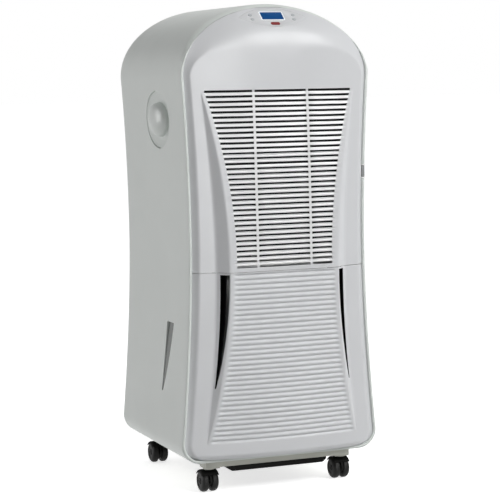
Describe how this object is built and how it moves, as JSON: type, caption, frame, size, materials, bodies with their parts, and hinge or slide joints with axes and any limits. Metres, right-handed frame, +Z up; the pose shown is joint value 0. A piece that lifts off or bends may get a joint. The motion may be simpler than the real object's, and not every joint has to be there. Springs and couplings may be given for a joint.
{
  "type": "tower dehumidifier",
  "caption": "Upright white dehumidifier with a waisted casing, louvred front intake, pull-out water bucket, tilted control panel and twin-wheel casters.",
  "frame": {"origin": "on the floor under the middle of the machine", "axes": "+Z up, -Y towards the front panel, +X to the right seen from the front"},
  "size_m": [0.3146, 0.3146, 0.722],
  "materials": {
    "casing_white": "satin moulded white-grey plastic",
    "panel_white": "satin moulded white plastic",
    "smoke_window": "smoky translucent plastic",
    "display_glass": "blue lit display behind a clear window",
    "key_red": "dark red moulded key",
    "key_grey": "pale grey moulded key",
    "circuit_board": "green laminate board",
    "tab_grey": "mid-grey moulded plastic",
    "filter_net": "dark nylon net",
    "base_grey": "warm grey moulded plastic",
    "black_plastic": "black moulded plastic",
    "wheel_black": "black nylon caster wheel",
    "tank_plastic": "pale translucent moulded plastic",
    "float_foam": "white expanded foam",
    "sheet_steel": "plain zinc-plated steel",
    "coil_fins": "fine aluminium fins",
    "black_paint": "black stove paint",
    "rubber_black": "soft black rubber",
    "copper_tube": "bare copper tube",
    "fan_grey": "grey moulded plastic"
  },
  "bodies": {
    "chassis": {"casing_shell": "casing_white", "rear_cover": "casing_white", "front_panel": "panel_white", "side_grip_left": "casing_white", "side_grip_right": "casing_white", "sight_window_left": "smoke_window", "sight_window_right": "smoke_window", "control_fascia": "panel_white", "display_window": "display_glass", "control_board": "circuit_board", "base_frame": "base_grey", "base_pan": "black_plastic", "bay_partition": "sheet_steel", "compressor_deck": "sheet_steel", "evaporator_coil": "coil_fins", "condenser_coil": "coil_fins", "drip_tray": "float_foam", "compressor": "black_paint", "compressor_grommet_1": "rubber_black", "compressor_grommet_2": "rubber_black", "compressor_grommet_3": "rubber_black", "suction_accumulator": "black_paint", "suction_tube": "copper_tube", "discharge_tube": "copper_tube", "capillary_tube": "copper_tube", "fan_scroll": "black_plastic", "fan_motor": "black_paint", "motor_bracket": "sheet_steel", "run_capacitor": "sheet_steel", "reed_switch": "black_plastic", "cord_gland": "black_plastic", "hose_port": "base_grey"},
    "bucket": {"bucket_tank": "tank_plastic", "bucket_front": "panel_white", "finger_pocket_left": "black_plastic", "finger_pocket_right": "black_plastic", "float_pin": "sheet_steel"},
    "float": {"float": "float_foam"},
    "filter": {"filter_frame": "tab_grey", "filter_mesh": "filter_net"},
    "fan": {"fan_impeller": "fan_grey", "fan_shaft": "sheet_steel"},
    "power_key": {"power_key": "key_red"},
    "hose_cap": {"hose_cap": "base_grey"},
    "small_key_1": {"small_key_1": "key_grey"},
    "small_key_2": {"small_key_2": "key_grey"},
    "small_key_3": {"small_key_3": "key_grey"},
    "small_key_4": {"small_key_4": "key_grey"},
    "caster_front_left": {"caster_hood_front_left": "black_plastic"},
    "wheel_front_left_a": {"caster_wheel_front_left_a": "wheel_black"},
    "wheel_front_left_b": {"caster_wheel_front_left_b": "wheel_black"},
    "caster_front_right": {"caster_hood_front_right": "black_plastic"},
    "wheel_front_right_a": {"caster_wheel_front_right_a": "wheel_black"},
    "wheel_front_right_b": {"caster_wheel_front_right_b": "wheel_black"},
    "caster_rear_left": {"caster_hood_rear_left": "black_plastic"},
    "wheel_rear_left_a": {"caster_wheel_rear_left_a": "wheel_black"},
    "wheel_rear_left_b": {"caster_wheel_rear_left_b": "wheel_black"},
    "caster_rear_right": {"caster_hood_rear_right": "black_plastic"},
    "wheel_rear_right_a": {"caster_wheel_rear_right_a": "wheel_black"},
    "wheel_rear_right_b": {"caster_wheel_rear_right_b": "wheel_black"}
  },
  "joints": [
    {"name": "bucket_slide", "type": "slide", "parent": "chassis", "child": "bucket", "axis": [0, -1, 0], "range_m": [0, 0.185]},
    {"name": "float_swing", "type": "hinge", "parent": "bucket", "child": "float", "pos_m": [0, -0.007, 0.294], "axis": [-1, 0, 0], "range_deg": [0, 20]},
    {"name": "filter_slide", "type": "slide", "parent": "chassis", "child": "filter", "axis": [1, 0, 0], "range_m": [0, 0.275]},
    {"name": "fan_spin", "type": "hinge", "parent": "chassis", "child": "fan", "pos_m": [0, 0.03, 0.452], "axis": [0, 1, 0], "continuous": true},
    {"name": "hose_cap_pull", "type": "slide", "parent": "chassis", "child": "hose_cap", "axis": [0, 1, 0], "range_m": [0, 0.016]},
    {"name": "power_key_press", "type": "slide", "parent": "chassis", "child": "power_key", "axis": [0, 0.6494, -0.7604], "range_m": [0, 0.0012], "stiffness_N_per_m": 600},
    {"name": "small_key_1_press", "type": "slide", "parent": "chassis", "child": "small_key_1", "axis": [0, 0.6494, -0.7604], "range_m": [0, 0.001], "stiffness_N_per_m": 600},
    {"name": "small_key_2_press", "type": "slide", "parent": "chassis", "child": "small_key_2", "axis": [0, 0.6494, -0.7604], "range_m": [0, 0.001], "stiffness_N_per_m": 600},
    {"name": "small_key_3_press", "type": "slide", "parent": "chassis", "child": "small_key_3", "axis": [0, 0.6494, -0.7604], "range_m": [0, 0.001], "stiffness_N_per_m": 600},
    {"name": "small_key_4_press", "type": "slide", "parent": "chassis", "child": "small_key_4", "axis": [0, 0.6494, -0.7604], "range_m": [0, 0.001], "stiffness_N_per_m": 600},
    {"name": "caster_front_left_swivel", "type": "hinge", "parent": "chassis", "child": "caster_front_left", "pos_m": [-0.107, -0.106, 0.034], "axis": [0, 0, 1], "continuous": true},
    {"name": "wheel_front_left_a_spin", "type": "hinge", "parent": "caster_front_left", "child": "wheel_front_left_a", "pos_m": [-0.107, -0.1, 0.016], "axis": [1, 0, 0], "continuous": true},
    {"name": "wheel_front_left_b_spin", "type": "hinge", "parent": "caster_front_left", "child": "wheel_front_left_b", "pos_m": [-0.107, -0.1, 0.016], "axis": [1, 0, 0], "continuous": true},
    {"name": "caster_front_right_swivel", "type": "hinge", "parent": "chassis", "child": "caster_front_right", "pos_m": [0.107, -0.106, 0.034], "axis": [0, 0, 1], "continuous": true},
    {"name": "wheel_front_right_a_spin", "type": "hinge", "parent": "caster_front_right", "child": "wheel_front_right_a", "pos_m": [0.107, -0.1, 0.016], "axis": [1, 0, 0], "continuous": true},
    {"name": "wheel_front_right_b_spin", "type": "hinge", "parent": "caster_front_right", "child": "wheel_front_right_b", "pos_m": [0.107, -0.1, 0.016], "axis": [1, 0, 0], "continuous": true},
    {"name": "caster_rear_left_swivel", "type": "hinge", "parent": "chassis", "child": "caster_rear_left", "pos_m": [-0.107, 0.124, 0.034], "axis": [0, 0, 1], "continuous": true},
    {"name": "wheel_rear_left_a_spin", "type": "hinge", "parent": "caster_rear_left", "child": "wheel_rear_left_a", "pos_m": [-0.107, 0.13, 0.016], "axis": [1, 0, 0], "continuous": true},
    {"name": "wheel_rear_left_b_spin", "type": "hinge", "parent": "caster_rear_left", "child": "wheel_rear_left_b", "pos_m": [-0.107, 0.13, 0.016], "axis": [1, 0, 0], "continuous": true},
    {"name": "caster_rear_right_swivel", "type": "hinge", "parent": "chassis", "child": "caster_rear_right", "pos_m": [0.107, 0.124, 0.034], "axis": [0, 0, 1], "continuous": true},
    {"name": "wheel_rear_right_a_spin", "type": "hinge", "parent": "caster_rear_right", "child": "wheel_rear_right_a", "pos_m": [0.107, 0.13, 0.016], "axis": [1, 0, 0], "continuous": true},
    {"name": "wheel_rear_right_b_spin", "type": "hinge", "parent": "caster_rear_right", "child": "wheel_rear_right_b", "pos_m": [0.107, 0.13, 0.016], "axis": [1, 0, 0], "continuous": true}
  ]
}
